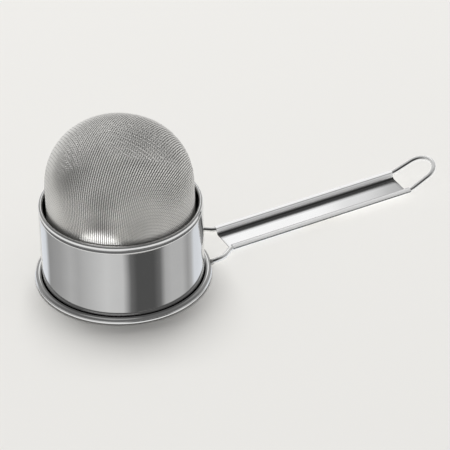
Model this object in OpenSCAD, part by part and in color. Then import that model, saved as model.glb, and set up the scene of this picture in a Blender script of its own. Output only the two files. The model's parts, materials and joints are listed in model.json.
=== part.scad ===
// Tea strainer with a woven dome, standing on its rolled rim with the dome up.
// Origin at the centre of the rim's resting circle. Handle along +X, +Z up.

/* [Rim and collar] */
// Outer diameter over the rolled rim
rim_d = 70; // [66:1:76]
// Thickness of the rolled rim from top to bottom
rim_t = 2.9; // [2.6:0.1:3.4]
// Outer diameter of the straight collar wall
collar_d = 64.2; // [60:0.2:66]
// Height of the collar's hem above the resting plane
collar_h = 34.5; // [28:0.1:40]
// Sheet thickness of collar and rim
sheet_t = 0.4; // [0.3:0.05:0.5]
// Height of the hem at the collar's free edge
hem_h = 1.9; // [1.7:0.1:3]
// Radial width of that hem
hem_w = 1.6; // [1.4:0.1:1.8]
// Height of the clamp ring inside the mouth
clamp_h = 7.5; // [6:0.5:10]

/* [Mesh] */
// Outer diameter of the mesh basket's straight part
mesh_d = 58.2; // [55:0.2:58.8]
// Envelope thickness of the woven mesh
mesh_t = 0.6; // [0.4:0.05:0.7]
// Height of the dome's spring line above the resting plane
dome_z = 41.2; // [36:0.2:46]
// Height of the dome above its spring line
dome_h = 27.4; // [22:0.2:30]
// Fullness of the dome, where 2 is an ellipse and more is squarer
dome_n = 2.22; // [2:0.02:2.6]

/* [Handle] */
// Diameter of the handle wire
wire_d = 2.0; // [1.8:0.1:2.2]
// Distance between the two handle wires along the grip
wire_gap = 14.8; // [13:0.2:17]
// Where the sheet grip starts, from the rim's axis
grip_x0 = 44.6; // [43:0.2:50]
// Length of the sheet grip
grip_len = 82.2; // [60:0.2:100]
// Sheet thickness of the grip
grip_t = 0.35; // [0.3:0.05:0.45]
// Depth of the grip's channel below the wire centres
grip_depth = 1.75; // [1.5:0.05:1.9]
// Height of the wire centres where the grip starts
grip_z0 = 2.4; // [2.3:0.05:4]
// Rise of the handle towards its end, in degrees
grip_rise = 1.15; // [0:0.05:4]
// How far the loop is bent up from the handle, in degrees
loop_bend = 22; // [0:1:40]
// Length of the loop's straight legs
loop_leg = 8.4; // [6:0.2:12]
// Distance between the legs where they meet the rim
leg_gap = 22.8; // [20:0.2:26]

/* [Hidden] */
steel = [0.78, 0.79, 0.80];
dark_steel = [0.62, 0.63, 0.64];

// Half width of the flat that a rolled edge wears where it stands on a table
foot = 0.25;
rim_r = rim_t / 2;
rim_mid = rim_r - sheet_t / 2;
rim_c = rim_d / 2 - rim_r;
flat_a = asin(foot / rim_mid);
rim_z = rim_mid * cos(flat_a) + sheet_t / 2;
wall_r = collar_d / 2 - sheet_t / 2;
loop_r = wire_gap / 2 - 0.6;
curl_r = wire_d / 2 + grip_t / 2;

// Points on an arc about c, from angle a0 to angle a1
function arc(c, r, a0, a1, n) = [for (i = [0:n]) let (a = a0 + (a1 - a0) * i / n)
    [c[0] + r * cos(a), c[1] + r * sin(a)]];

// A path moved sideways by d, to its left when d is positive, with mitred corners
function unit(v) = v / norm(v);
function side(p, d) = let (m = len(p) - 1) [for (i = [0:m])
    let (j = max(i, 1), k = min(i, m - 1), t = unit(p[j] - p[j - 1]) + unit(p[k + 1] - p[k]))
    p[i] + [-t[1], t[0]] * 2 * d / (t * t)];
function flip(p) = [for (i = [len(p) - 1:-1:0]) p[i]];

// A strip of sheet along a path
module strip(p, t) { polygon(concat(side(p, t / 2), flip(side(p, -t / 2)))); }

// The collar: rolled rim, flared foot, straight wall, inward neck and rolled hem, as one
// sheet. The curl starts close to the wall, goes over the wire, under it and up the wall.
flare_a = 45;
flare_r = 0.8;
curl_a = 140;
flare_in = [rim_c - rim_mid * cos(flare_a), rim_z - rim_mid * sin(flare_a)];
// Where the flare's arc is centred, for a straight run of that slope down to a point
function flare_z(p, r) =
    p[1] + (p[0] - r - flare_r + flare_r * cos(flare_a)) / tan(flare_a) + flare_r * sin(flare_a);
flare_top = flare_z(flare_in, wall_r);
// The hem's centre sits this far inside the wall, and the neck reaches this far below and
// above the hem's lower edge
hem_in = 0.75;
neck_down = 1;
neck_up = 0.85;
hem_c = [wall_r - hem_in, collar_h - hem_w / 2];
hem_mid = (hem_w - sheet_t) / 2;
// The hem's outer face leans in by this many degrees and turns under with this radius
hem_lean = 10;
hem_turn = 0.4;
face_top = hem_c + hem_mid * [cos(hem_lean), sin(hem_lean)];
turn_z = collar_h - hem_h + sheet_t / 2 + hem_turn;
turn_r = face_top[0] + (face_top[1] - turn_z - hem_turn * sin(hem_lean)) * tan(hem_lean);
turn_c = [turn_r - hem_turn * cos(hem_lean), turn_z];
// The neck, where the wall steps in under the hem
neck_low = [wall_r, collar_h - hem_h - neck_down];
neck_top = [hem_c[0] - hem_mid, collar_h - hem_h + neck_up];
// A soft step between two points, upright at both ends
function step(a, b, n) = [for (i = [1:n]) let (k = i / (n + 1))
    [a[0] + (b[0] - a[0]) * k * k * (3 - 2 * k), a[1] + (b[1] - a[1]) * k]];
function band_path() = concat(
    arc([rim_c, rim_z], rim_mid, curl_a, -90 + flat_a, 20),
    arc([rim_c, rim_z], rim_mid, -90 - flat_a, -180 + flare_a, 4),
    arc([wall_r + flare_r, flare_top], flare_r, 180 + flare_a, 180, 4),
    [neck_low], step(neck_low, neck_top, 7), [neck_top],
    arc(hem_c, hem_mid, 180, hem_lean, 10),
    arc(turn_c, hem_turn, hem_lean, -60, 6));
module outer_band() {
    color(steel) rotate_extrude($fn = 144) strip(band_path(), sheet_t);
}

// The wire ring that stiffens the rolled rim
module rim_wire() {
    color(dark_steel) translate([0, 0, rim_z])
        rotate_extrude($fn = 144) translate([rim_c, 0]) circle(r = rim_r - sheet_t - 0.02, $fn = 48);
}

// The clamp ring holds the mesh skirt against the inside of the collar. Its lip
// follows the collar's flare.
clamp_r = wall_r - sheet_t - mesh_t;
lip_back = 0.4;
lip = flare_in - (sheet_t + 0.25) * [cos(flare_a), sin(flare_a)]
    + lip_back * [-sin(flare_a), cos(flare_a)];
lip_top = flare_z(lip, clamp_r);
function clamp_path() = concat(
    [lip],
    arc([clamp_r + flare_r, lip_top], flare_r, 180 + flare_a, 180, 4),
    arc([clamp_r - 0.5, clamp_h - 0.8], 0.5, 0, 60, 4));
module inner_ring() {
    color(steel) rotate_extrude($fn = 144) strip(clamp_path(), sheet_t);
}

// The mesh basket as the envelope of its woven wires: clamped skirt, shoulder,
// straight side and dome
// The skirt stands this far above the clamp ring, and the shoulder is this high
skirt_up = 0.4;
shoulder_h = 5;
skirt_r = wall_r - sheet_t / 2 - mesh_t / 2;
mesh_r = mesh_d / 2 - mesh_t / 2;
dome_r = dome_h - mesh_t / 2;
function mesh_path() = concat(
    [[skirt_r, flare_top + 0.2], [skirt_r, clamp_h + skirt_up]],
    step([skirt_r, clamp_h + skirt_up], [mesh_r, clamp_h + skirt_up + shoulder_h], 5),
    [[mesh_r, clamp_h + skirt_up + shoulder_h], [mesh_r, dome_z]],
    [for (i = [1:23]) let (a = 90 * i / 24)
        [mesh_r * pow(cos(a), 2 / dome_n), dome_z + dome_r * pow(sin(a), 2 / dome_n)]]);
module mesh_basket() {
    p = mesh_path();
    pole = [[0, dome_z + dome_h], [0, dome_z + dome_h - mesh_t]];
    color(dark_steel) rotate_extrude($fn = 144)
        polygon(concat(side(p, -mesh_t / 2), pole, flip(side(p, mesh_t / 2))));
}

// A tube swept along a path in space, with one ring of n points at each path point
module sweep(p, r, n) {
    m = len(p);
    rings = [for (i = [0:m - 1])
        let (t = unit(p[min(i + 1, m - 1)] - p[max(i - 1, 0)]),
             s = unit(cross([0, 0, 1], t)), u = cross(t, s))
        for (j = [0:n - 1]) p[i] + r * (cos(360 * j / n) * s + sin(360 * j / n) * u)];
    polyhedron(rings, concat(
        [[for (j = [0:n - 1]) n - 1 - j]],
        [for (i = [0:m - 2]) for (j = [0:n - 1])
            [i * n + j, i * n + (j + 1) % n, (i + 1) * n + (j + 1) % n, (i + 1) * n + j]],
        [[for (j = [0:n - 1]) (m - 1) * n + j]]));
}

// A bend at corner b, cut back by c along both arms
function bend(a, b, d, c, n) = let (s = b - c * unit(b - a), e = b + c * unit(d - b))
    [for (i = [0:n]) let (k = i / n) (1 - k) * (1 - k) * s + 2 * k * (1 - k) * b + k * k * e];

// Height of the handle's wire centres at a distance x from the rim's axis
function rise(x) = grip_z0 + tan(grip_rise) * (x - grip_x0);
grip_x1 = grip_x0 + grip_len;
weld_y = leg_gap / 2;
weld_x = sqrt(pow(rim_d / 2 - 0.25, 2) - weld_y * weld_y);
// The legs leave the rim this far above its wire's centre and bend inwards this far out
leg_up = 0.35;
knee_out = 6.2;
leg_end = [weld_x, weld_y, rim_z + leg_up];
knee = [weld_x + knee_out, weld_y - 0.1, rise(weld_x + knee_out)];
grip_in = [grip_x0 - 0.6, wire_gap / 2, rise(grip_x0 - 0.6)];
grip_out = [grip_x1 + 0.6, wire_gap / 2, rise(grip_x1 + 0.6)];
// A point of the loop: s along it from the grip's end, y across it
function on_loop(s, y) = [grip_out[0] + s * cos(loop_bend + grip_rise), y,
                          grip_out[2] + s * sin(loop_bend + grip_rise)];
function half_wire() = concat(
    [leg_end],
    bend(leg_end, knee, grip_in, 1.8, 6),
    bend(knee, grip_in, grip_out, 1.6, 6),
    bend(grip_in, grip_out, on_loop(loop_leg, loop_r), 2, 6));
function loop_tip() = [for (i = [0:18]) let (a = 90 - 10 * i)
    on_loop(loop_leg + loop_r * cos(a), loop_r * sin(a))];
function mirrored(p) = [for (i = [len(p) - 1:-1:0]) [p[i][0], -p[i][1], p[i][2]]];
module handle_wire() {
    color(steel) sweep(concat(half_wire(), loop_tip(), mirrored(half_wire())), wire_d / 2, 12);
}

// The grip: a shallow channel of sheet with its two edges rolled over the wires. The rolls
// stop at this angle on their outer sides, where the wires stay bare below.
corner_r = 1.3;
roll_end = 8;
function grip_half() = let (w = wire_gap / 2) concat(
    arc([w - curl_r - corner_r, corner_r - grip_depth], corner_r, -90, 0, 8),
    arc([w, 0], curl_r, 180, roll_end, 18));
function grip_profile() = concat(
    [for (p = flip(grip_half())) [-p[0], p[1]]], grip_half());
module handle_grip() {
    color(steel) translate([grip_x0, 0, grip_z0]) rotate([0, -grip_rise, 0])
        rotate([90, 0, 90]) linear_extrude(grip_len / cos(grip_rise))
            strip(grip_profile(), grip_t);
}

// The weld between a wire end and the rim
weld_r = 1.25;
module weld() {
    color(dark_steel) translate([weld_x + 0.35, weld_y, rim_z + 0.2]) sphere(r = weld_r, $fn = 32);
}
module weld_left() { weld(); }
module weld_right() { mirror([0, 1, 0]) weld(); }

outer_band();
rim_wire();
inner_ring();
mesh_basket();
handle_wire();
handle_grip();
weld_left();
weld_right();
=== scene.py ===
"""Tea strainer standing upside down on its rim: looks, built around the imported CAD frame.

Lengths inside the shape functions are millimetres in the model's frame (+X along the handle, +Z
up, origin at the centre of the rim's resting circle). Mesh objects are made in metres.
"""

import json
import math

import bpy
import numpy as np
from mathutils import Matrix, Vector

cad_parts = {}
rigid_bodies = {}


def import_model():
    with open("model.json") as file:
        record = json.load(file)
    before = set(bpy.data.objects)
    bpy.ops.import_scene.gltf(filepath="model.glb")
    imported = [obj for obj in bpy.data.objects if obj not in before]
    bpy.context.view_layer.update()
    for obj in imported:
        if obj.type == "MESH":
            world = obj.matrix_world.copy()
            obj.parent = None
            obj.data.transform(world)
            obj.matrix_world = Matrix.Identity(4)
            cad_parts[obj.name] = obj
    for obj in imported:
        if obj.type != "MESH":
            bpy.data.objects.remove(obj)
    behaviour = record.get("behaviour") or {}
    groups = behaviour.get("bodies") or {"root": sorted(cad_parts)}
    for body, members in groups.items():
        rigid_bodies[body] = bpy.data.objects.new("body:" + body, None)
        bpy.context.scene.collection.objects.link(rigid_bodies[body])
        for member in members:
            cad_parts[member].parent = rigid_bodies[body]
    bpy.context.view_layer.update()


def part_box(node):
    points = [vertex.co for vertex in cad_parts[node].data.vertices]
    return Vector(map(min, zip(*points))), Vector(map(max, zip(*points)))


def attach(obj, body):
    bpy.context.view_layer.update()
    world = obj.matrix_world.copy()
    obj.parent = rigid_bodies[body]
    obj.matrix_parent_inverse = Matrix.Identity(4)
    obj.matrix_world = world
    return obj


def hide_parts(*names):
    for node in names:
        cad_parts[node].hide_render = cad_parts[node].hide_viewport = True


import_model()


def top_mm(node):
    """The largest X, Y and Z of a CAD node, in millimetres."""
    return [c * 1000 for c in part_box(node)[1]]


# ---------------------------------------------------------------- sizes: box tops from the frame
band_top = top_mm("outer_band")
basket_top = top_mm("mesh_basket")

SHEET = 0.4
RIM_R = band_top[1]
RIM_BEAD = 1.45
RIM_C = RIM_R - RIM_BEAD
RIM_MID = RIM_BEAD - SHEET / 2
FOOT = 0.25
RIM_Z = math.sqrt(RIM_MID**2 - FOOT**2) + SHEET / 2
COLLAR_H = band_top[2]
HEM_H, HEM_W = 1.9, 1.6
WALL_R = basket_top[0] + SHEET / 2
MESH_T = 0.6
CLAMP_R = WALL_R - SHEET - MESH_T
CLAMP_H = 7.5
MESH_D = 58.2
MESH_R = (MESH_D - MESH_T) / 2
DOME_Z = 41.2
DOME_H = basket_top[2] - MESH_T / 2 - DOME_Z
PITCH = 0.93
WARP, WEFT = 0.52, 0.24
WARP_WAVE, WEFT_WAVE = 0.03, 0.15
WIRE_R = 1.0
GRIP_T = 0.35
GRIP_DEPTH = 1.75
WIRE_GAP = 14.8
GRIP_X0 = 44.6
GRIP_LEN = 82.2
GRIP_Z0 = 2.4
RISE = math.radians(1.15)
LOOP_BEND = math.radians(22)
LOOP_LEG = 8.4
LEG_GAP = 22.8
WEAVE_TURN = math.radians(40.4)


# ---------------------------------------------------------------- shape helpers
def arc(c, r, a0, a1, n):
    """Points on an arc about c from a0 to a1 degrees."""
    return [
        (c[0] + r * math.cos(a), c[1] + r * math.sin(a))
        for a in (math.radians(a0 + (a1 - a0) * i / n) for i in range(n + 1))
    ]


def outline(path, t):
    """A closed outline round a path: sheet of thickness t, with rounded edges."""
    n, cap = len(path), 5
    left, right = [], []
    ends = []
    for i in range(n):
        a, b = path[max(i - 1, 0)], path[min(i + 1, n - 1)]
        d = math.hypot(b[0] - a[0], b[1] - a[1])
        tx, ty = (b[0] - a[0]) / d, (b[1] - a[1]) / d
        left.append((path[i][0] - ty * t / 2, path[i][1] + tx * t / 2))
        right.append((path[i][0] + ty * t / 2, path[i][1] - tx * t / 2))
        if i in (0, n - 1):
            ends.append(math.degrees(math.atan2(ty, tx)))
    tip = arc(path[-1], t / 2, ends[1] + 90, ends[1] - 90, cap)[1:-1]
    tail = arc(path[0], t / 2, ends[0] - 90, ends[0] - 270, cap)[1:-1]
    return left + tip + right[::-1] + tail


def straight(a, b, n):
    """n points between a and b, without the ends."""
    return [
        (a[0] + (b[0] - a[0]) * i / (n + 1), a[1] + (b[1] - a[1]) * i / (n + 1))
        for i in range(1, n + 1)
    ]


def fast_mesh(name, verts, quads, extra=()):
    """A mesh object in metres from millimetre points, quads, and a few larger faces."""
    me = bpy.data.meshes.new(name)
    verts = np.asarray(verts, dtype=np.float64).reshape(-1, 3) / 1000
    quads = np.asarray(quads, dtype=np.int64).reshape(-1, 4)
    loops = np.concatenate([quads.ravel()] + [np.asarray(f) for f in extra]).astype(np.int32)
    sizes = np.concatenate([np.full(len(quads), 4), [len(f) for f in extra]]).astype(np.int32)
    starts = np.concatenate([[0], np.cumsum(sizes)[:-1]]).astype(np.int32)
    me.vertices.add(len(verts))
    me.vertices.foreach_set("co", verts.ravel())
    me.loops.add(len(loops))
    me.loops.foreach_set("vertex_index", loops)
    me.polygons.add(len(sizes))
    me.polygons.foreach_set("loop_start", starts)
    me.polygons.foreach_set("use_smooth", np.full(len(sizes), True))
    me.update(calc_edges=True)
    me.validate()
    ob = bpy.data.objects.new(name, me)
    bpy.context.scene.collection.objects.link(ob)
    return ob


def grid_quads(rows, cols, close_rows, close_cols, base=0):
    """Quads over a rows by cols grid of points, row after row."""
    i = np.arange(rows if close_rows else rows - 1)
    j = np.arange(cols if close_cols else cols - 1)
    ii, jj = np.meshgrid(i, j, indexing="ij")
    i2, j2 = (ii + 1) % rows, (jj + 1) % cols
    q = np.stack([ii * cols + jj, ii * cols + j2, i2 * cols + j2, i2 * cols + jj], -1)
    return q.reshape(-1, 4) + base


def revolve(name, ring, segments, warp=None):
    """A closed outline of (radius, height) points turned about Z, bent a little by warp."""
    ring = np.array(ring)
    a = np.linspace(0, 2 * np.pi, segments, endpoint=False)
    r = np.repeat(ring[None, :, 0], segments, 0)
    z = np.repeat(ring[None, :, 1], segments, 0)
    aa = np.repeat(a[:, None], len(ring), 1)
    if warp:
        r, z = warp(r, z, aa)
    v = np.stack([r * np.cos(aa), r * np.sin(aa), z], -1)
    return fast_mesh(name, v, grid_quads(segments, len(ring), True, True)[:, ::-1])


def sweep(name, path, radius, sides):
    """A round wire along a path, with slightly domed ends."""
    p = np.array(path, dtype=float)
    t = np.gradient(p, axis=0)
    t /= np.linalg.norm(t, axis=1)[:, None]
    r = np.full(len(p), radius)
    tip, shoulder = 0.12, 0.05
    start = [p[0] - t[0] * tip, p[0] - t[0] * shoulder]
    end = [p[-1] + t[-1] * shoulder, p[-1] + t[-1] * tip]
    p = np.vstack(start + [p] + end)
    t = np.vstack([t[0], t[0], t, t[-1], t[-1]])
    r = np.concatenate([[radius * 0.80, radius * 0.95], r, [radius * 0.95, radius * 0.80]])
    s = np.cross([0.0, 0.0, 1.0], t)
    s /= np.linalg.norm(s, axis=1)[:, None]
    u = np.cross(t, s)
    a = np.linspace(0, 2 * np.pi, sides, endpoint=False)
    v = p[:, None, :] + r[:, None, None] * (
        np.cos(a)[None, :, None] * s[:, None, :] + np.sin(a)[None, :, None] * u[:, None, :]
    )
    m = len(p)
    caps = [list(range(sides))[::-1], [(m - 1) * sides + j for j in range(sides)]]
    return fast_mesh(name, v, grid_quads(m, sides, False, True), caps)


def piece(ob, material, slot_name, *nodes):
    """Give ob its material, on the one body, in place of those CAD nodes. The slot name is not used."""
    ob.data.materials.append(material)
    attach(ob, "root")
    if nodes:
        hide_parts(*nodes)
    return ob


# ---------------------------------------------------------------- materials
def steel(name, tint, rough, spread, grain=None, relief=0.0, metal=1.0):
    """Steel with a faint cloud of tones.

    grain is the brushing's scale along X, Y and Z in object space. The roughness goes from rough
    to rough + spread along the brushing. Without a grain, relief makes fine pits instead."""
    mat = bpy.data.materials.new(name)
    mat.use_nodes = True
    nt = mat.node_tree
    n, link = nt.nodes, nt.links
    bsdf = n["Principled BSDF"]
    bsdf.inputs["Metallic"].default_value = metal
    coord = n.new("ShaderNodeTexCoord")
    cloud = n.new("ShaderNodeTexNoise")
    cloud.inputs["Scale"].default_value = 70.0
    cloud.inputs["Detail"].default_value = 4.0
    link.new(coord.outputs["Object"], cloud.inputs["Vector"])
    tones = n.new("ShaderNodeValToRGB")
    tones.color_ramp.elements[0].position = 0.35
    tones.color_ramp.elements[1].position = 0.70
    tones.color_ramp.elements[0].color = tuple(c * 0.955 for c in tint) + (1,)
    tones.color_ramp.elements[1].color = tuple(tint) + (1,)
    link.new(cloud.outputs["Fac"], tones.inputs["Fac"])
    link.new(tones.outputs["Color"], bsdf.inputs["Base Color"])
    if grain:
        stretch = n.new("ShaderNodeMapping")
        stretch.inputs["Scale"].default_value = grain
        link.new(coord.outputs["Object"], stretch.inputs["Vector"])
        lines = n.new("ShaderNodeTexNoise")
        lines.inputs["Scale"].default_value = 1.0
        lines.inputs["Detail"].default_value = 3.0
        link.new(stretch.outputs["Vector"], lines.inputs["Vector"])
        ramp = n.new("ShaderNodeMapRange")
        ramp.inputs["From Min"].default_value = 0.3
        ramp.inputs["From Max"].default_value = 0.7
        ramp.inputs["To Min"].default_value = rough
        ramp.inputs["To Max"].default_value = rough + spread
        link.new(lines.outputs["Fac"], ramp.inputs["Value"])
        link.new(ramp.outputs["Result"], bsdf.inputs["Roughness"])
        if relief:
            bump = n.new("ShaderNodeBump")
            bump.inputs["Strength"].default_value = relief
            bump.inputs["Distance"].default_value = 0.00002
            link.new(lines.outputs["Fac"], bump.inputs["Height"])
            link.new(bump.outputs["Normal"], bsdf.inputs["Normal"])
    else:
        bsdf.inputs["Roughness"].default_value = rough
        if relief:
            pits = n.new("ShaderNodeTexNoise")
            pits.inputs["Scale"].default_value = 900.0
            link.new(coord.outputs["Object"], pits.inputs["Vector"])
            bump = n.new("ShaderNodeBump")
            bump.inputs["Strength"].default_value = relief
            bump.inputs["Distance"].default_value = 0.00005
            link.new(pits.outputs["Fac"], bump.inputs["Height"])
            link.new(bump.outputs["Normal"], bsdf.inputs["Normal"])
    return mat


polished = steel("polished_sheet_steel", (0.66, 0.66, 0.655), 0.05, 0.04, (60, 60, 7000), 0.04)
grip_steel = steel("grip_sheet_steel", (0.70, 0.70, 0.70), 0.06, 0.05, (60, 6000, 6000), 0.05)
wire_steel = steel("drawn_wire_steel", (0.93, 0.93, 0.92), 0.10, 0.05, (300, 4000, 4000), 0.05, metal=0.6)
# Painted light: the warp wires are much lighter in colour than the weft wires, standing in for light that
# catches one family of wires more than the other.
warp_steel_painted_light = steel("warp_wire_lit_steel", (0.98, 0.97, 0.94), 0.30, 0.0, metal=0.1)
weft_steel_painted_shade = steel("weft_wire_shaded_steel", (0.66, 0.65, 0.63), 0.35, 0.0, metal=0.15)
# Painted shade: the rim's hidden wire is near black so that the slot round it reads dark.
hidden_wire_shade_steel = steel("hidden_wire_painted_shade", (0.10, 0.10, 0.10), 0.50, 0.0)
weld_steel = steel("weld_steel", (0.55, 0.54, 0.52), 0.34, 0.0, None, 0.4)


def across_ring(nt):
    """The distance from the Z axis and the height of a point, as a vector (distance, height, 0)."""
    n, link = nt.nodes, nt.links
    coord = n.new("ShaderNodeTexCoord")
    flat = n.new("ShaderNodeVectorMath")
    flat.operation = "MULTIPLY"
    flat.inputs[1].default_value = (1, 1, 0)
    link.new(coord.outputs["Object"], flat.inputs[0])
    turn = n.new("ShaderNodeVectorMath")
    turn.operation = "LENGTH"
    link.new(flat.outputs["Vector"], turn.inputs[0])
    parts = n.new("ShaderNodeSeparateXYZ")
    link.new(coord.outputs["Object"], parts.inputs["Vector"])
    across = n.new("ShaderNodeCombineXYZ")
    link.new(turn.outputs["Value"], across.inputs["X"])
    link.new(parts.outputs["Z"], across.inputs["Y"])
    return across.outputs["Vector"]


def span(nt, socket, low, high, a=0.0, b=1.0):
    """A value spread from a to b as the socket goes from low to high."""
    node = nt.nodes.new("ShaderNodeMapRange")
    node.inputs["From Min"].default_value = low
    node.inputs["From Max"].default_value = high
    node.inputs["To Min"].default_value = a
    node.inputs["To Max"].default_value = b
    nt.links.new(socket, node.inputs["Value"])
    return node.outputs["Result"]


def maths(nt, operation, *values):
    """A maths node over sockets and plain numbers."""
    node = nt.nodes.new("ShaderNodeMath")
    node.operation = operation
    for socket, value in zip(node.inputs, values):
        if isinstance(value, float):
            socket.default_value = value
        else:
            nt.links.new(value, socket)
    return node.outputs["Value"]


def away_from(nt, socket, at):
    """How far a vector socket is, in metres, from a point given in millimetres."""
    node = nt.nodes.new("ShaderNodeVectorMath")
    node.operation = "DISTANCE"
    node.inputs[1].default_value = [c / 1000 for c in at]
    nt.links.new(socket, node.inputs[0])
    return node.outputs["Value"]


def darken(nt, factor, tone):
    """Blend the base colour towards a grey tone where the factor is 0."""
    base = nt.nodes["Principled BSDF"].inputs["Base Color"]
    mix = nt.nodes.new("ShaderNodeMix")
    mix.data_type = "RGBA"
    colour_a, colour_b = mix.inputs[6], mix.inputs[7]
    colour_a.default_value = (tone, tone, tone, 1)
    nt.links.new(factor, mix.inputs["Factor"])
    nt.links.new(base.links[0].from_socket, colour_b)
    nt.links.new(mix.outputs[2], base)


def paint_ring_shade(mat, at_r, at_z, radius):
    """Painted shade: darken sheet within a radius of a circle about Z, all in millimetres."""
    nt = mat.node_tree
    away = away_from(nt, across_ring(nt), (at_r, at_z, 0))
    darken(nt, span(nt, away, (radius - 0.15) / 1000, (radius + 0.1) / 1000), 0.03)


# Painted shade inside the rolled rim, and in the crease between the wall and the rim.
paint_ring_shade(polished, RIM_C, RIM_Z, RIM_BEAD - SHEET * 0.7)
paint_ring_shade(polished, WALL_R + 0.45, 1.8, 0.7)


def mesh_shade(mat):
    """Painted shade on a basket wire: darker on its inward side, low in the collar's slot, and towards the
    top.
    """
    inward_tone, slot_tone, top_tone = 0.68, 0.6, 0.72
    middle_z, dark_from, dark_to = 0.036, 0.046, 0.066
    nt = mat.node_tree
    n, link = nt.nodes, nt.links
    coord = n.new("ShaderNodeTexCoord")
    offset = n.new("ShaderNodeVectorMath")
    offset.operation = "SUBTRACT"
    offset.inputs[1].default_value = (0, 0, middle_z)
    link.new(coord.outputs["Object"], offset.inputs[0])
    outward = n.new("ShaderNodeVectorMath")
    outward.operation = "NORMALIZE"
    link.new(offset.outputs["Vector"], outward.inputs[0])
    facing = n.new("ShaderNodeVectorMath")
    facing.operation = "DOT_PRODUCT"
    link.new(outward.outputs["Vector"], facing.inputs[0])
    link.new(coord.outputs["Normal"], facing.inputs[1])
    darken(nt, span(nt, facing.outputs["Value"], -0.4, 0.2, inward_tone, 1.0), 0.0)
    parts = n.new("ShaderNodeSeparateXYZ")
    link.new(coord.outputs["Object"], parts.inputs["Vector"])
    low, high = (COLLAR_H - 1.0) / 1000, (COLLAR_H + 1.3) / 1000
    darken(nt, span(nt, parts.outputs["Z"], low, high, slot_tone, 1.0), 0.0)
    darken(nt, span(nt, parts.outputs["Z"], dark_from, dark_to, 1.0, top_tone), 0.0)


def painted_shade_patch(mat, at, reach, tone):
    """Painted shade: darken the cloth to a tone round a point, fading out over a reach, both in millimetres.
    """
    nt = mat.node_tree
    coord = nt.nodes.new("ShaderNodeTexCoord")
    away = away_from(nt, coord.outputs["Object"], at)
    darken(nt, span(nt, away, reach * 0.2 / 1000, reach / 1000, tone, 1.0), 0.0)


# Painted shade on both families of basket wires, with soft patches of painted shade on the dome.
for cloth in (warp_steel_painted_light, weft_steel_painted_shade):
    mesh_shade(cloth)
    painted_shade_patch(cloth, (-22.1, -5.1, 58), 11, 0.60)
    painted_shade_patch(cloth, (5.0, -9.5, 64.5), 14, 0.56)
    painted_shade_patch(cloth, (-17.2, -21.0, 50), 7, 0.80)
    painted_shade_patch(cloth, (-5.0, -27.9, 40), 11, 0.66)
    painted_shade_patch(cloth, (-18.6, -21.9, 41.5), 7, 0.62)
    painted_shade_patch(cloth, (14.5, -16.5, 60.6), 8, 0.72)


def painted_wire_reflection(mat):
    """Painted reflection: darken a wire where it faces the viewer, standing in for a mirror of the dark side
    of the room.
    """
    nt = mat.node_tree
    layer = nt.nodes.new("ShaderNodeLayerWeight")
    darken(nt, span(nt, layer.outputs["Facing"], 0.02, 0.16), 0.10)


painted_wire_reflection(wire_steel)


def grip_finish_and_painted_shade(mat):
    """The rolled edges are matt, with painted dark lines along them, and painted shade darkens the channel's
    far corner.

    Y is across the handle, and a height is above the middle of the handle's two wires."""
    nt = mat.node_tree
    n, link = nt.nodes, nt.links
    bsdf = n["Principled BSDF"]
    coord = n.new("ShaderNodeTexCoord")
    parts = n.new("ShaderNodeSeparateXYZ")
    link.new(coord.outputs["Object"], parts.inputs["Vector"])
    y = parts.outputs["Y"]
    foot = (GRIP_X0 * math.tan(RISE) - GRIP_Z0) / 1000
    slope = maths(nt, "MULTIPLY_ADD", parts.outputs["X"], -math.tan(RISE), foot)
    height = maths(nt, "ADD", parts.outputs["Z"], slope)

    roll_low, roll_high = -0.0008, -0.0005
    rough = bsdf.inputs["Roughness"]
    roll_rough = span(nt, height, roll_low, roll_high, 0.0, 0.24)
    link.new(maths(nt, "MAXIMUM", rough.links[0].from_socket, roll_rough), rough)
    near_metal = span(nt, y, -0.001, 0.001, 0.35, 0.0)
    channel_metal = span(nt, height, roll_low, roll_high, 1.0, 0.0)
    link.new(maths(nt, "MAXIMUM", near_metal, channel_metal), bsdf.inputs["Metallic"])
    darken(nt, span(nt, height, roll_high, roll_low, 0.25, 1.0), 0.76)

    # Painted shade in the channel's far corner.
    facing = n.new("ShaderNodeVectorMath")
    facing.operation = "DOT_PRODUCT"
    facing.inputs[1].default_value = (0, -0.7, 0.7)
    link.new(coord.outputs["Normal"], facing.inputs[0])
    corner = maths(nt, "MULTIPLY", span(nt, y, 0.0018, 0.0040), span(nt, height, -0.0010, -0.0013))
    corner = maths(nt, "MULTIPLY", corner, span(nt, facing.outputs["Value"], 0.0, 0.3))
    darken(nt, span(nt, corner, 1.0, 0.0), 0.10)

    both_edges = n.new("ShaderNodeCombineXYZ")
    link.new(maths(nt, "ABSOLUTE", y), both_edges.inputs["X"])
    link.new(height, both_edges.inputs["Y"])
    near_edge = n.new("ShaderNodeCombineXYZ")
    link.new(y, near_edge.inputs["X"])
    link.new(height, near_edge.inputs["Y"])
    # Each painted dark line, standing in for shade and dark reflections on the rolled edges: which edge, Y
    # and height of its middle, full and last reach (mm), tone.
    for edge, at_y, at_z, full, last, tone in (
        (both_edges, 8.70, 0.14, 0.28, 0.40, 0.02),
        (both_edges, 6.40, 0.91, 0.10, 0.26, 0.32),
        (near_edge, -6.75, 1.20, 0.20, 0.90, 0.40),
    ):
        away = away_from(nt, edge.outputs["Vector"], (at_y, at_z, 0))
        darken(nt, span(nt, away, full / 1000, last / 1000), tone)


grip_finish_and_painted_shade(grip_steel)


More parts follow.
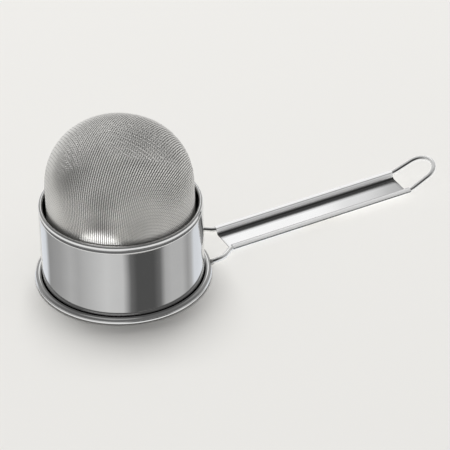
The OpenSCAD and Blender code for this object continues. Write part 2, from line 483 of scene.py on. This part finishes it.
# ---------------------------------------------------------------- collar, rim wire, clamp ring
FLARE = 45.0
FLARE_R = 0.8
CURL = 140.0
LIP_BACK = 0.4
LIP_GAP = 0.25
HEM_IN = 0.75
HEM_LEAN = 10.0
HEM_TURN = 0.4
NECK_DOWN = 1.0
NECK_UP = 0.85
flare_cos, flare_sin = math.cos(math.radians(FLARE)), math.sin(math.radians(FLARE))
flare_in = (RIM_C - RIM_MID * flare_cos, RIM_Z - RIM_MID * flare_sin)


def flare_z(p, r):
    """The height where a flare from p goes over into an upright wall of radius r."""
    out = p[0] - r - FLARE_R + FLARE_R * flare_cos
    return p[1] + out / math.tan(math.radians(FLARE)) + FLARE_R * flare_sin


flare_top = flare_z(flare_in, WALL_R)
hem_mid = (HEM_W - SHEET) / 2
hem_c = (WALL_R - HEM_IN, COLLAR_H - HEM_W / 2)


def s_curve(a, b, n):
    """A soft step between two points, upright at both ends."""
    out = []
    for i in range(1, n + 1):
        k = i / (n + 1)
        out.append((a[0] + (b[0] - a[0]) * k * k * (3 - 2 * k), a[1] + (b[1] - a[1]) * k))
    return out


neck_low = (WALL_R, COLLAR_H - HEM_H - NECK_DOWN)
neck_top = (hem_c[0] - hem_mid, COLLAR_H - HEM_H + NECK_UP)
lean = math.radians(HEM_LEAN)
face_top = (hem_c[0] + hem_mid * math.cos(lean), hem_c[1] + hem_mid * math.sin(lean))
turn_z = COLLAR_H - HEM_H + SHEET / 2 + HEM_TURN
turn_r = face_top[0] + (face_top[1] - turn_z - HEM_TURN * math.sin(lean)) * math.tan(lean)
hem_turn = (turn_r - HEM_TURN * math.cos(lean), turn_z)
wall_low = (WALL_R, flare_top)
flare_arc = arc((WALL_R + FLARE_R, flare_top), FLARE_R, 180 + FLARE, 180, 10)
band_path = (
    arc((RIM_C, RIM_Z), RIM_MID, CURL, -81, 48)
    + arc((RIM_C, RIM_Z), RIM_MID, -99, -180 + FLARE, 12)
    + straight(flare_in, flare_arc[0], 3)
    + flare_arc
    + straight(wall_low, neck_low, 26)
    + [neck_low]
    + s_curve(neck_low, neck_top, 19)
    + [neck_top]
    + arc(hem_c, hem_mid, 180, HEM_LEAN, 18)
    + arc(hem_turn, HEM_TURN, HEM_LEAN, -60, 10)
)


def band_warp(r, z, a):
    """A pressed sheet collar isn't perfectly round or straight."""
    up = np.clip(z / COLLAR_H, 0, 1)
    oval = 0.07 * np.cos(2 * a + 0.6) + 0.03 * np.cos(3 * a - 1.1)
    waves = 0.015 * np.sin(7 * a + 3 * up)
    bulge = (0.012 * np.sin(11 * a + 5.0 * up) + 0.02) * np.sin(np.pi * up)
    return r + up * (oval + waves) + bulge, z


piece(revolve("collar", outline(band_path, SHEET), 360, band_warp), polished, "polished_sheet", "outer_band")
ring_section = arc((RIM_C, RIM_Z), RIM_BEAD - SHEET - 0.02, 0, 360, 16)[:-1]
# The rim wire takes the painted shade material, darkening the slot round it.
piece(revolve("rim_ring", ring_section, 200), hidden_wire_shade_steel, "wire", "rim_wire")
lip = (
    flare_in[0] - (SHEET + LIP_GAP) * flare_cos - LIP_BACK * flare_sin,
    flare_in[1] - (SHEET + LIP_GAP) * flare_sin + LIP_BACK * flare_cos,
)
lip_top = flare_z(lip, CLAMP_R)
lip_arc = arc((CLAMP_R + FLARE_R, lip_top), FLARE_R, 180 + FLARE, 180, 8)
CLAMP_TURN, CLAMP_BEND = 0.5, 0.8
clamp_path = (
    [lip]
    + straight(lip, lip_arc[0], 3)
    + lip_arc
    + straight((CLAMP_R, lip_top), (CLAMP_R, CLAMP_H - CLAMP_BEND), 4)
    + arc((CLAMP_R - CLAMP_TURN, CLAMP_H - CLAMP_BEND), CLAMP_TURN, 0, 60, 6)
)
piece(revolve("clamp_ring", outline(clamp_path, SHEET), 300), polished, "polished_sheet", "inner_ring")


# ---------------------------------------------------------------- the woven basket
DOME_POWER = 2.22
SKIRT_UP = 0.4
SHOULDER_H = 5.0
LEAN = 0.012
LEAN_TO = math.radians(153.4)
LEAN_H = 30.0
GATHER, GATHER_PAST, GATHER_MAX = 0.09, 0.53, 0.8
STRETCH = 1.5e-5
SQUARING = 0.10
SKIRT_GAP = 0.2


def basket_profile():
    """Meridian of the basket from the pole down: arc length, radius, height."""
    skirt_r = WALL_R - SHEET / 2 - MESH_T / 2
    pts = []
    for i in range(121):
        a = math.pi / 2 * (1 - i / 120)
        r = MESH_R * max(math.cos(a), 0) ** (2 / DOME_POWER)
        z = DOME_Z + DOME_H * max(math.sin(a), 0) ** (2 / DOME_POWER)
        pts.append((r, z))
    shoulder = (MESH_R, CLAMP_H + SKIRT_UP + SHOULDER_H)
    skirt = (skirt_r, CLAMP_H + SKIRT_UP)
    pts += straight((MESH_R, DOME_Z), shoulder, 40)
    pts += s_curve(shoulder, skirt, 24)
    pts += straight(skirt, (skirt_r, flare_top + SKIRT_GAP), 8)
    p = np.array(pts)
    s = np.concatenate([[0], np.cumsum(np.hypot(*np.diff(p, axis=0).T))])
    return s, p[:, 0], p[:, 1]


PROF_S, PROF_R, PROF_Z = basket_profile()


def on_basket(s, az):
    """Points and outward normals of the basket's middle surface.

    Towards the top the dome leans a little and squares off between its wires."""
    r, z = np.interp(s, PROF_S, PROF_R), np.interp(s, PROF_S, PROF_Z)
    step = 0.4
    dr = np.interp(s + step, PROF_S, PROF_R) - np.interp(s - step, PROF_S, PROF_R)
    dz = np.interp(s + step, PROF_S, PROF_Z) - np.interp(s - step, PROF_S, PROF_Z)
    d = np.hypot(dr, dz) + 1e-9
    nr, nz = -dz / d, dr / d
    lift = np.clip((z - COLLAR_H) / LEAN_H, 0, 1)
    r = r - lift * SQUARING * np.cos(4 * (az - WEAVE_TURN))
    x = r * np.cos(az) + LEAN * lift * LEAN_H * math.cos(LEAN_TO)
    y = r * np.sin(az) + LEAN * lift * LEAN_H * math.sin(LEAN_TO)
    return np.stack([x, y, z], -1), np.stack([nr * np.cos(az), nr * np.sin(az), nz], -1)


def draw(a, b):
    """Where a point of the flat wire cloth ends up after drawing: arc length and azimuth.

    Drawing gathers the cloth towards the four directions between its wires."""
    rho = np.hypot(a, b)
    th = np.arctan2(b, a)
    x = rho / MESH_R
    k = np.where(x < 1, GATHER * x**2, GATHER + GATHER_PAST * (x - 1))
    s = rho + STRETCH * rho**3 * np.sin(2 * th) ** 2
    return s, th + np.minimum(k, GATHER_MAX) * np.sin(4 * th) / 4 + WEAVE_TURN


def weave(name, family, sign, wire, wave):
    """Half of one family of wires, as one mesh of four-sided wires that wave at each crossing."""
    verts, quads, base = [], [], 0
    sides = 4
    reach = int(PROF_S[-1] / PITCH) + 2
    ids = range(0, reach) if sign > 0 else range(-reach, 0)
    j = np.arange(-reach, reach + 0.25, 0.5)
    angles = np.linspace(0, 2 * np.pi, sides, endpoint=False)
    for i in ids:
        u = np.full(len(j), (i + 0.5) * PITCH)
        v = (j + 0.5) * PITCH
        a, b = (u, v) if family == 0 else (v, u)
        s, az = draw(a, b)
        keep = s < PROF_S[-1] - 0.2
        if keep.sum() < 5:
            continue
        p, n = on_basket(s[keep], az[keep])
        phase = np.cos(np.pi * (j[keep] + i)) * (1 if family == 0 else -1)
        p = p + n * (phase * wave)[:, None]
        t = np.gradient(p, axis=0)
        t /= np.linalg.norm(t, axis=1)[:, None]
        side = np.cross(n, t)
        side /= np.linalg.norm(side, axis=1)[:, None]
        up = np.cross(t, side)
        ring = p[:, None, :] + wire / 2 * (
            np.cos(angles)[None, :, None] * side[:, None, :] + np.sin(angles)[None, :, None] * up[:, None, :]
        )
        verts.append(ring.reshape(-1, 3))
        quads.append(grid_quads(len(p), sides, False, True, base))
        base += sides * len(p)
    return fast_mesh(name, np.vstack(verts), np.vstack(quads))


for label, sign in (("a", 1), ("b", -1)):
    warp_half = weave("warp_wires_" + label, 1, sign, WARP, WARP_WAVE)
    piece(warp_half, warp_steel_painted_light, "woven_mesh", "mesh_basket")
    weft_half = weave("weft_wires_" + label, 0, sign, WEFT, WEFT_WAVE)
    piece(weft_half, weft_steel_painted_shade, "woven_mesh", "mesh_basket")


# ---------------------------------------------------------------- handle wire, grip, welds
def between(p, q, f):
    """The point a fraction f of the way from p to q."""
    return tuple(p[i] + (q[i] - p[i]) * f for i in range(3))


def cut_corner(a, b, d, c, n):
    """A smooth bend at b, cut back by c along both arms."""
    la, ld = math.dist(a, b), math.dist(b, d)
    s, e = between(b, a, c / la), between(b, d, c / ld)
    return [
        tuple((1 - k) ** 2 * s[i] + 2 * k * (1 - k) * b[i] + k * k * e[i] for i in range(3))
        for k in (m / n for m in range(n + 1))
    ]


def rise(x):
    """The height of the handle wires' middle at x."""
    return GRIP_Z0 + math.tan(RISE) * (x - GRIP_X0)


WELD_IN = 0.25
LEG_UP = 0.35
KNEE_OUT, KNEE_IN = 6.2, 0.1
BARE = 0.6
LOOP_IN = 0.6
weld_y = LEG_GAP / 2
weld_x = math.sqrt((RIM_R - WELD_IN) ** 2 - weld_y**2)
leg_end = (weld_x, weld_y, RIM_Z + LEG_UP)
knee = (weld_x + KNEE_OUT, weld_y - KNEE_IN, rise(weld_x + KNEE_OUT))
grip_in = (GRIP_X0 - BARE, WIRE_GAP / 2, rise(GRIP_X0 - BARE))
grip_x1 = GRIP_X0 + GRIP_LEN
grip_out = (grip_x1 + BARE, WIRE_GAP / 2, rise(grip_x1 + BARE))
loop_r = WIRE_GAP / 2 - LOOP_IN


def on_loop(s, y):
    """A point of the bent-up loop: s along it from the grip's far end, y across."""
    return (
        grip_out[0] + s * math.cos(LOOP_BEND + RISE),
        y,
        grip_out[2] + s * math.sin(LOOP_BEND + RISE),
    )


half = (
    [leg_end]
    + cut_corner(leg_end, knee, grip_in, 2.2, 12)
    + cut_corner(knee, grip_in, grip_out, 1.8, 12)
    + [between(grip_in, grip_out, f) for f in (0.15, 0.3, 0.45, 0.6, 0.75, 0.9)]
    + cut_corner(grip_in, grip_out, on_loop(LOOP_LEG, loop_r), 2.4, 12)
)
tip = [
    on_loop(LOOP_LEG + loop_r * math.cos(a), loop_r * math.sin(a))
    for a in (math.radians(90 - 180 * i / 40) for i in range(41))
]
path = half + tip + [(x, -y, z) for x, y, z in reversed(half)]
piece(sweep("handle_frame", path, WIRE_R, 28), wire_steel, "wire", "handle_wire")

CORNER = 1.3
ROLL_END = 8
curl_mid = WIRE_R + GRIP_T / 2
half_gap = WIRE_GAP / 2
corner_c = (half_gap - curl_mid - CORNER, CORNER - GRIP_DEPTH)
side_half = arc(corner_c, CORNER, -90, 0, 14) + arc((half_gap, 0), curl_mid, 180, ROLL_END, 30)
floor_mid = straight((-side_half[0][0], side_half[0][1]), side_half[0], 14)
grip_path = [(-y, z) for y, z in reversed(side_half)] + floor_mid + side_half


def grip_mesh(name):
    """The channel, lofted along the handle, with softened ends and a faint sag in its floor."""
    length = GRIP_LEN / math.cos(RISE)
    # Each station: how far along, and how much thinner the sheet is on each side.
    soft = 0.14
    stations = [(0.0, 0.07), (0.05, 0.02), (soft, 0.0)]
    stations += [(soft + (length - 2 * soft) * i / 60, 0.0) for i in range(1, 61)]
    stations += [(length - 0.05, 0.02), (length, 0.07)]
    rows = []
    for x, shrink in stations:
        ring = np.array(outline(grip_path, GRIP_T - 2 * shrink))
        k = x / length
        sag = 0.03 * math.sin(9.0 * k + 0.7) + 0.02 * math.sin(23.0 * k)
        in_floor = np.abs(ring[:, 0]) < half_gap - curl_mid - 0.4
        z = ring[:, 1] + np.where(in_floor, sag, 0.0) * (1 - (ring[:, 0] / half_gap) ** 2)
        px = GRIP_X0 + x * math.cos(RISE) - z * math.sin(RISE)
        pz = GRIP_Z0 + x * math.sin(RISE) + z * math.cos(RISE)
        rows.append(np.stack([px, ring[:, 0], pz], -1))
    m, c = len(rows), len(rows[0])
    v = np.vstack(rows)
    quads = [grid_quads(m, c, False, True)]
    n = len(grip_path)
    cap = (c - 2 * n) // 2
    left = list(range(n))
    right = list(range(2 * n + cap - 1, n + cap - 1, -1))
    ends = []
    for off, turn in ((0, 1), ((m - 1) * c, -1)):
        corners = [(left[i], left[i + 1], right[i + 1], right[i]) for i in range(n - 1)]
        quads.append(np.array(corners)[:, ::turn] + off)
        tip_ids = [off + i for i in range(n - 1, n + cap + 1)]
        tail_ids = [off + i for i in range(2 * n + cap - 1, 2 * n + 2 * cap)] + [off]
        ends += [tip_ids[::turn], tail_ids[::turn]]
    return fast_mesh(name, v, np.vstack(quads), ends)


piece(grip_mesh("grip"), grip_steel, "grip_sheet", "handle_grip")


WELD_SIZE = (1.15, 1.22, 1.22)
WELD_OUT, WELD_UP = 0.3, 0.2


def weld(name, side):
    """A low bead of weld metal where a wire end meets the rim."""
    rows, cols = 14, 24
    v = []
    for i in range(rows + 1):
        for j in range(cols):
            th, ph = math.pi * i / rows, 2 * math.pi * j / cols
            d = (math.sin(th) * math.cos(ph), math.sin(th) * math.sin(ph), math.cos(th))
            k = 1 + 0.05 * math.sin(5 * ph + 2 * th) * math.sin(th)
            v.append([d[m] * WELD_SIZE[m] * k for m in range(3)])
    c = (weld_x + WELD_OUT, weld_y, RIM_Z + WELD_UP)
    v = [(c[0] + p[0], side * (c[1] + p[1]), c[2] + p[2]) for p in v]
    q = grid_quads(rows + 1, cols, False, True)
    if side > 0:
        q = q[:, ::-1]
    return fast_mesh(name, v, q)


piece(weld("weld_l", 1), weld_steel, "weld", "weld_left")
piece(weld("weld_r", -1), weld_steel, "weld", "weld_right")


# ---------------------------------------------------------------- camera
PHI = math.radians(26.62)
ELEV = math.radians(34.1)
ROLL = math.radians(1.0)
DIST = 1.0176
AIM = (0.04044, 0.03318)


def stage_frame(right, away, up=0.0):
    """A point given as right of, away from and above the strainer as the camera sees it."""
    return Vector(
        (
            right * math.cos(PHI) + away * math.sin(PHI),
            -right * math.sin(PHI) + away * math.cos(PHI),
            up,
        )
    )


forward = Vector((math.sin(PHI) * math.cos(ELEV), math.cos(PHI) * math.cos(ELEV), -math.sin(ELEV)))
level = Vector((math.cos(PHI), -math.sin(PHI), 0))
upward = level.cross(forward)
right = level * math.cos(ROLL) - upward * math.sin(ROLL)
up = level * math.sin(ROLL) + upward * math.cos(ROLL)
cam = bpy.data.cameras.new("camera")
cam.sensor_width = 36.0
cam.lens = 199.9
cam.clip_start, cam.clip_end = 0.05, 20.0
camera = bpy.data.objects.new("camera", cam)
bpy.context.scene.collection.objects.link(camera)
place = Matrix((right, up, -forward)).transposed().to_4x4()
place.translation = stage_frame(*AIM) - forward * DIST
camera.matrix_world = place
bpy.context.scene.camera = camera


# ---------------------------------------------------------------- floor and light
def flat_stage(name, corners, material):
    """A flat sheet of the stage, such as the floor."""
    me = bpy.data.meshes.new(name)
    me.from_pydata([tuple(c) for c in corners], [], [tuple(range(len(corners)))])
    ob = bpy.data.objects.new(name, me)
    bpy.context.scene.collection.objects.link(ob)
    ob.data.materials.append(material)
    return ob


def plain(name, color, rough):
    """A matt material of one colour."""
    mat = bpy.data.materials.new(name)
    mat.use_nodes = True
    b = mat.node_tree.nodes["Principled BSDF"]
    b.inputs["Base Color"].default_value = color
    b.inputs["Roughness"].default_value = rough
    b.inputs["Specular IOR Level"].default_value = 0.0
    return mat


paper = plain("pale_paper", (0.80, 0.79, 0.765, 1), 1.0)
FLOOR = 4.0
flat_stage("floor", [(x * FLOOR, y * FLOOR, 0) for x, y in ((-1, -1), (1, -1), (1, 1), (-1, 1))], paper)


def area(name, at, aim, size, power):
    """A soft rectangular light, which the steel doesn't mirror."""
    light = bpy.data.lights.new(name, "AREA")
    light.shape = "RECTANGLE"
    light.size, light.size_y = size
    light.energy = power
    ob = bpy.data.objects.new(name, light)
    ob.location = at
    ob.rotation_euler = (aim - at).to_track_quat("-Z", "Y").to_euler()
    ob.visible_glossy = False
    bpy.context.scene.collection.objects.link(ob)
    return ob


def glow(name, stops, build):
    """An emission material whose tone follows a ramp over the factor that build makes."""
    mat = bpy.data.materials.new(name)
    mat.use_nodes = True
    nt = mat.node_tree
    nt.nodes.clear()
    out = nt.nodes.new("ShaderNodeOutputMaterial")
    emit = nt.nodes.new("ShaderNodeEmission")
    ramp = nt.nodes.new("ShaderNodeValToRGB")
    nt.links.new(build(nt), ramp.inputs["Fac"])
    nt.links.new(ramp.outputs["Color"], emit.inputs["Color"])
    nt.links.new(emit.outputs["Emission"], out.inputs["Surface"])
    cr = ramp.color_ramp
    while len(cr.elements) < len(stops):
        cr.elements.new(0.5)
    for e, (at, tone) in zip(cr.elements, stops):
        e.position = at
        e.color = (tone[0], tone[1], tone[2], 1) if isinstance(tone, tuple) else (tone, tone, tone, 1)
    return mat


def reflection_only(ob):
    """Leave an object to be seen in reflections only."""
    ob.visible_camera = False
    ob.visible_diffuse = False
    ob.visible_shadow = False
    ob.visible_transmission = False
    return ob


def ramp_factor(nt, source, axis, low, high):
    """One axis of a texture coordinate, spread from 0 to 1 between low and high."""
    coord = nt.nodes.new("ShaderNodeTexCoord")
    parts = nt.nodes.new("ShaderNodeSeparateXYZ")
    nt.links.new(coord.outputs[source], parts.inputs["Vector"])
    return span(nt, parts.outputs[axis], low, high)


FAN = 76.0
ON_FLOOR = 0.0001
COOL = (0.92, 0.95, 1.0)


def at_wall(degrees):
    """Where on the fan's ramp the collar shows that many degrees right of its front line."""
    return (degrees + FAN) / (2 * FAN)


def floor_fan(name, stops):
    """Low cards round the collar, laid along the lines that the collar's wall mirrors.

    A mirror wall at an angle b from the front line looks along 2b, so each card edge is the line
    that starts at the wall at b and runs along 2b."""
    cols, lengths = 153, (0.0, 8.0, 16.0, 32.0, 52.0)
    verts, uvs = [], []
    for i in range(cols):
        b = math.radians(-FAN + 2 * FAN * i / (cols - 1))
        start = RIM_R + 0.4
        wx, wy = WALL_R * math.cos(b), WALL_R * math.sin(b)
        dx, dy = math.cos(2 * b), math.sin(2 * b)
        along = wx * dx + wy * dy
        reach = -along + math.sqrt(along**2 + start**2 - WALL_R**2)
        for d in lengths:
            x, y = wx + dx * (reach + d), wy + dy * (reach + d)
            verts.append((x / 1000, y / 1000, ON_FLOOR))
            uvs.append(i / (cols - 1))
    n = len(lengths)
    faces = [
        (i * n + j, i * n + j + 1, (i + 1) * n + j + 1, (i + 1) * n + j)
        for i in range(cols - 1)
        for j in range(n - 1)
    ]
    me = bpy.data.meshes.new(name)
    me.from_pydata(verts, [], faces)
    layer = me.uv_layers.new(name="fan")
    for loop in me.loops:
        layer.data[loop.index].uv = (uvs[loop.vertex_index], 0.5)
    ob = bpy.data.objects.new(name, me)
    ob.rotation_euler = (0, 0, -PHI - math.pi / 2)
    bpy.context.scene.collection.objects.link(ob)
    me.materials.append(glow(name + "_tone", stops, lambda nt: ramp_factor(nt, "UV", "X", 0, 1)))
    return reflection_only(ob)


# Degrees right of the front line, and the tone of the card that the wall mirrors there.
FAN_TONES = [
    (-76, COOL),
    (-66, COOL),
    (-61, 0.38),
    (-48, 0.47),
    (-38, 0.61),
    (-31, 0.56),
    (-23, 0.66),
    (-10, 0.82),
    (1, 0.78),
    (6.5, 0.20),
    (11, 0.11),
    (23, 0.11),
    (28, 0.20),
    (32, 0.56),
    (37, 0.64),
    (47, 0.64),
    (53, 0.46),
    (57, 0.60),
    (61, COOL),
    (76, COOL),
]
floor_fan("floor_cards", [(at_wall(degrees), tone) for degrees, tone in FAN_TONES])


def card(name, at, aim, size, stops):
    """A glowing card seen only in reflections, with a ramp of tones across it."""
    w, h = size[0] / 2, size[1] / 2
    me = bpy.data.meshes.new(name)
    me.from_pydata([(-w, -h, 0), (w, -h, 0), (w, h, 0), (-w, h, 0)], [], [(0, 1, 2, 3)])
    ob = bpy.data.objects.new(name, me)
    ob.location = at
    ob.rotation_euler = (aim - at).to_track_quat("-Z", "Y").to_euler()
    bpy.context.scene.collection.objects.link(ob)
    me.materials.append(glow(name + "_tone", stops, lambda nt: ramp_factor(nt, "Object", "X", -w, w)))
    return reflection_only(ob)


def group(name, starts):
    """A collection of the meshes whose names start in one of those ways."""
    found = bpy.data.collections.new(name)
    for ob in bpy.context.scene.objects:
        if ob.type == "MESH" and ob.name.startswith(starts):
            found.objects.link(ob)
    return found


# The overhead light passes the handle. Two weak lights reach only the grip and only the mesh.
centre = Vector((0.02, 0, 0.03))
cloth_starts = ("warp_wires", "weft_wires")
cup_starts = ("collar", "rim_ring", "clamp_ring") + cloth_starts
top_light = area("overhead_softbox", stage_frame(-0.3, 1.7, 4.0), centre, (2.6, 2.12), 153.0)
top_light.light_linking.blocker_collection = group("blockers", cup_starts)

card(
    "back_card",
    stage_frame(0.05, 0.8, 0.55),
    centre,
    (0.40, 0.28),
    [(0.0, 0.5), (0.21, 0.62), (0.30, 1.0), (0.40, 1.35), (0.8, 1.3), (1.0, 0.4)],
)
card("top_card", stage_frame(-0.15, -0.12, 0.9), centre, (0.6, 0.5), [(0.0, 0.5), (1.0, 0.5)])

grip_fill = area("grip_fill", stage_frame(0.2, -1.2, 0.75), centre, (0.5, 0.4), 9.0)
grip_fill.light_linking.receiver_collection = group("filled", ("grip",))
mesh_fill = area("mesh_fill", stage_frame(0.8, -1.0, 0.5), centre, (0.5, 0.4), 3.1)
mesh_fill.light_linking.receiver_collection = group("woven", cloth_starts)

# A narrow spot makes the bright patch low on the front of the mesh.
spot = bpy.data.lights.new("low_patch", "SPOT")
spot.energy = 62.0
spot.spot_size = math.radians(1.2)
spot.spot_blend = 0.3
spot.shadow_soft_size = 0.002
spot_light = bpy.data.objects.new("low_patch", spot)
spot_at = stage_frame(-0.25, -0.9, 0.35)
spot_to = stage_frame(-0.007, -0.0275, 0.0286)
spot_light.location = spot_at
spot_light.rotation_euler = (spot_to - spot_at).to_track_quat("-Z", "Y").to_euler()
spot_light.visible_glossy = False
bpy.context.scene.collection.objects.link(spot_light)


def floor_ring(name, inner, outer, tone, even=True):
    """A flat glowing ring on the floor round the strainer, radii in millimetres.

    An uneven ring is as wide as asked in front and narrows round the sides."""
    cols = 120
    verts = []
    for i in range(cols):
        a = 2 * math.pi * i / cols
        k = 1.0 if even else max(math.cos(a + PHI + math.pi / 2), 0.02)
        edges = (inner, inner + (outer - inner) * k)
        verts += [(r * math.cos(a) / 1000, r * math.sin(a) / 1000, 2 * ON_FLOOR) for r in edges]
    faces = [(2 * i, 2 * i + 1, (2 * i + 3) % (2 * cols), (2 * i + 2) % (2 * cols)) for i in range(cols)]
    me = bpy.data.meshes.new(name)
    me.from_pydata(verts, [], faces)
    ob = bpy.data.objects.new(name, me)
    bpy.context.scene.collection.objects.link(ob)
    stops = [(0.0, tone), (1.0, tone)]
    me.materials.append(glow(name + "_tone", stops, lambda nt: ramp_factor(nt, "Object", "X", -1, 1)))
    return reflection_only(ob)


def sky_card(name, radius, stops):
    """A half sphere seen only in reflections, with a ramp of tones from front to back."""
    rows, cols = 16, 64
    verts = []
    for i in range(rows):
        h = math.pi / 2 * i / rows
        flat, z = radius * math.cos(h), radius * math.sin(h)
        for j in range(cols):
            a = 2 * math.pi * j / cols
            verts.append((flat * math.cos(a), flat * math.sin(a), z))
    verts.append((0, 0, radius))
    faces = [tuple(int(k) for k in q) for q in grid_quads(rows, cols, False, True)]
    faces += [((rows - 1) * cols + j, (rows - 1) * cols + (j + 1) % cols, rows * cols) for j in range(cols)]
    me = bpy.data.meshes.new(name)
    me.from_pydata(verts, [], faces)
    ob = bpy.data.objects.new(name, me)
    ob.rotation_euler = (0, 0, -PHI)
    bpy.context.scene.collection.objects.link(ob)
    me.materials.append(
        glow(name + "_tone", stops, lambda nt: ramp_factor(nt, "Object", "Y", -radius, radius))
    )
    return reflection_only(ob)


floor_ring("rim_glow", RIM_R + 0.1, RIM_R + 2.2, 1.15, even=False)
floor_ring("far_glow", 95.0, 320.0, 1.15)
sky_card("sky_card", 1.5, [(0.0, 0.20), (0.30, 0.18), (0.60, 0.20), (0.72, 0.32), (1.0, 0.5)])

world = bpy.data.worlds.new("soft_room")
bpy.context.scene.world = world
world.use_nodes = True
world.node_tree.nodes["Background"].inputs["Color"].default_value = (1, 1, 1, 1)
world.node_tree.nodes["Background"].inputs["Strength"].default_value = 0.36

bpy.context.scene.view_settings.view_transform = "Standard"
